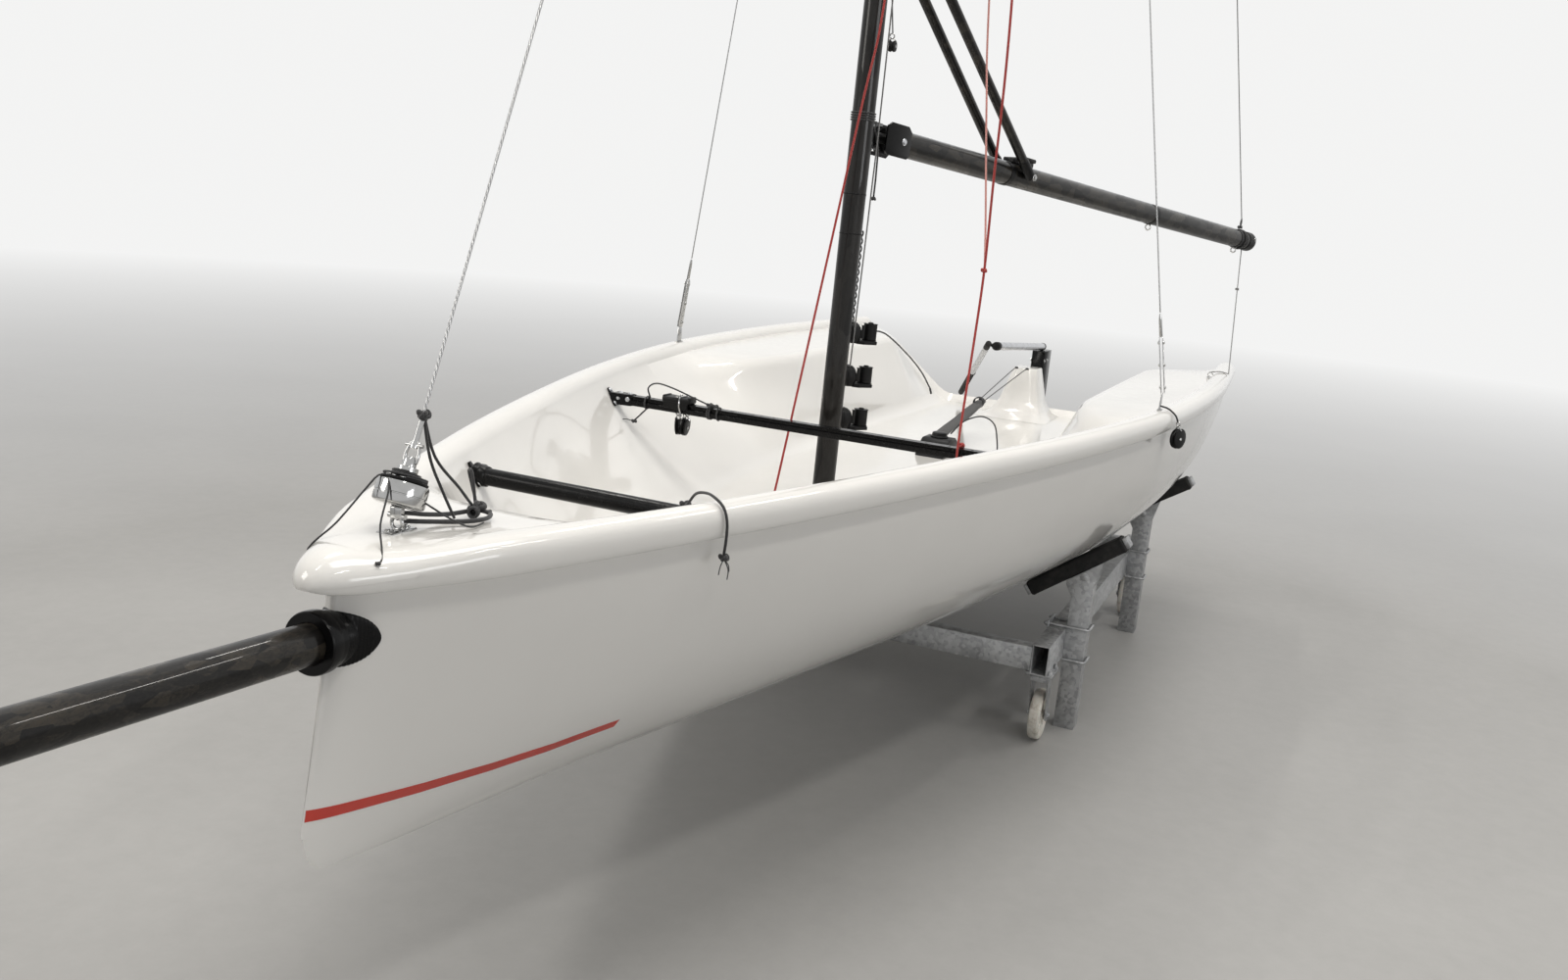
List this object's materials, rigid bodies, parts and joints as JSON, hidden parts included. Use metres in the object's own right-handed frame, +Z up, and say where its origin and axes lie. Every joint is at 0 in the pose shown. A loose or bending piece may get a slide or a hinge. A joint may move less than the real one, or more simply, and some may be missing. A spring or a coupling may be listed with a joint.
{
  "type": "sailing dinghy on a cradle",
  "caption": "Open two-handed sailing dinghy with mast, boom, bowsprit and rudder, standing on a galvanised cradle with swivelling castors.",
  "frame": {"origin": "on the floor under the middle of the length from rudder blade to bowsprit tip, on the boat's centreline", "axes": "+X forward to the bow, +Y to port, +Z up"},
  "size_m": [6.1039, 1.6942, 6.8513],
  "materials": {
    "white_gelcoat": "polished white gelcoat",
    "black_carbon": "lacquered carbon fibre",
    "black_plastic": "moulded black plastic",
    "silver_alloy": "anodised tube",
    "stainless_steel": "polished stainless steel",
    "galvanised_steel": "dull hot-dip galvanised",
    "black_rubber": "matt rubber cover",
    "white_nylon": "worn white nylon",
    "black_webbing": "woven webbing"
  },
  "bodies": {
    "boat": {"hull": "white_gelcoat", "deck": "white_gelcoat", "stern_tower": "white_gelcoat", "bow_cuff": "black_plastic", "gudgeon_1": "stainless_steel", "gudgeon_2": "stainless_steel", "mast_step": "black_plastic", "mast": "black_carbon", "cleat_arm_1": "black_plastic", "cleat_arm_2": "black_plastic", "cleat_arm_3": "black_plastic", "gooseneck_bracket": "black_plastic", "gnav_bracket": "black_plastic", "bow_chainplate": "stainless_steel", "furler_drum": "stainless_steel", "forestay": "stainless_steel", "chainplate_port": "stainless_steel", "chainplate_starboard": "stainless_steel", "shroud_port": "stainless_steel", "shroud_starboard": "stainless_steel", "jib_track": "black_plastic", "jib_car": "black_plastic", "bow_crossbar": "black_plastic", "mainsheet_base": "black_plastic", "hiking_strap": "black_webbing", "cradle_beam_port": "galvanised_steel", "cradle_beam_starboard": "galvanised_steel", "cradle_cross_fore": "galvanised_steel", "cradle_cross_aft": "galvanised_steel", "cradle_post_fore_port": "galvanised_steel", "cradle_post_aft_port": "galvanised_steel", "cradle_post_fore_starboard": "galvanised_steel", "cradle_post_aft_starboard": "galvanised_steel", "cradle_pad_fore_port": "black_rubber", "cradle_pad_aft_port": "black_rubber", "cradle_pad_fore_starboard": "black_rubber", "cradle_pad_aft_starboard": "black_rubber"},
    "boom": {"boom_toggle": "black_plastic", "boom": "black_carbon", "boom_end_cap": "black_plastic", "gnav_yoke": "black_plastic", "gnav_strut_port": "black_carbon", "gnav_strut_starboard": "black_carbon"},
    "bowsprit": {"bowsprit": "black_carbon"},
    "rudder": {"rudder_head": "black_plastic", "tiller": "silver_alloy"},
    "rudder_blade": {"rudder_blade": "white_gelcoat"},
    "tiller_extension": {"tiller_extension": "silver_alloy"},
    "castor_fork_fore_port": {"castor_fork_fore_port": "galvanised_steel"},
    "castor_fork_aft_port": {"castor_fork_aft_port": "galvanised_steel"},
    "castor_fork_fore_starboard": {"castor_fork_fore_starboard": "galvanised_steel"},
    "castor_fork_aft_starboard": {"castor_fork_aft_starboard": "galvanised_steel"},
    "castor_wheel_fore_port": {"castor_wheel_fore_port": "white_nylon"},
    "castor_wheel_aft_port": {"castor_wheel_aft_port": "white_nylon"},
    "castor_wheel_fore_starboard": {"castor_wheel_fore_starboard": "white_nylon"},
    "castor_wheel_aft_starboard": {"castor_wheel_aft_starboard": "white_nylon"}
  },
  "joints": [
    {"name": "boom_swing", "type": "hinge", "parent": "boat", "child": "boom", "pos_m": [0.01424, 0, 1.65505], "axis": [-0.0262, 0, 0.9997], "range_deg": [-29, 67]},
    {"name": "bowsprit_slide", "type": "slide", "parent": "boat", "child": "bowsprit", "axis": [0.9985, 0, 0.0541], "range_m": [-0.6, 0]},
    {"name": "rudder_swing", "type": "hinge", "parent": "boat", "child": "rudder", "pos_m": [-2.28579, 0, 0.78], "axis": [0, 0, 1], "range_deg": [-35, 35]},
    {"name": "rudder_blade_lift", "type": "hinge", "parent": "rudder", "child": "rudder_blade", "pos_m": [-2.37079, 0, 0.605], "axis": [0, 1, 0], "range_deg": [-62, 25]},
    {"name": "tiller_extension_lift", "type": "hinge", "parent": "rudder", "child": "tiller_extension", "pos_m": [-1.56779, -0.034, 1.002], "axis": [-0.3763, 0.9265, 0], "range_deg": [0, 140]},
    {"name": "castor_swivel_fore_port", "type": "hinge", "parent": "boat", "child": "castor_fork_fore_port", "pos_m": [-0.30579, 0.565, 0.19], "axis": [0, 0, 1], "continuous": true},
    {"name": "castor_swivel_aft_port", "type": "hinge", "parent": "boat", "child": "castor_fork_aft_port", "pos_m": [-1.80579, 0.565, 0.19], "axis": [0, 0, 1], "continuous": true},
    {"name": "castor_swivel_fore_starboard", "type": "hinge", "parent": "boat", "child": "castor_fork_fore_starboard", "pos_m": [-0.30579, -0.565, 0.19], "axis": [0, 0, 1], "continuous": true},
    {"name": "castor_swivel_aft_starboard", "type": "hinge", "parent": "boat", "child": "castor_fork_aft_starboard", "pos_m": [-1.80579, -0.565, 0.19], "axis": [0, 0, 1], "continuous": true},
    {"name": "castor_wheel_fore_port", "type": "hinge", "parent": "castor_fork_fore_port", "child": "castor_wheel_fore_port", "pos_m": [-0.33979, 0.565, 0.0755], "axis": [0, 1, 0], "continuous": true},
    {"name": "castor_wheel_aft_port", "type": "hinge", "parent": "castor_fork_aft_port", "child": "castor_wheel_aft_port", "pos_m": [-1.83979, 0.565, 0.0755], "axis": [0, 1, 0], "continuous": true},
    {"name": "castor_wheel_fore_starboard", "type": "hinge", "parent": "castor_fork_fore_starboard", "child": "castor_wheel_fore_starboard", "pos_m": [-0.33979, -0.565, 0.0755], "axis": [0, 1, 0], "continuous": true},
    {"name": "castor_wheel_aft_starboard", "type": "hinge", "parent": "castor_fork_aft_starboard", "child": "castor_wheel_aft_starboard", "pos_m": [-1.83979, -0.565, 0.0755], "axis": [0, 1, 0], "continuous": true}
  ]
}
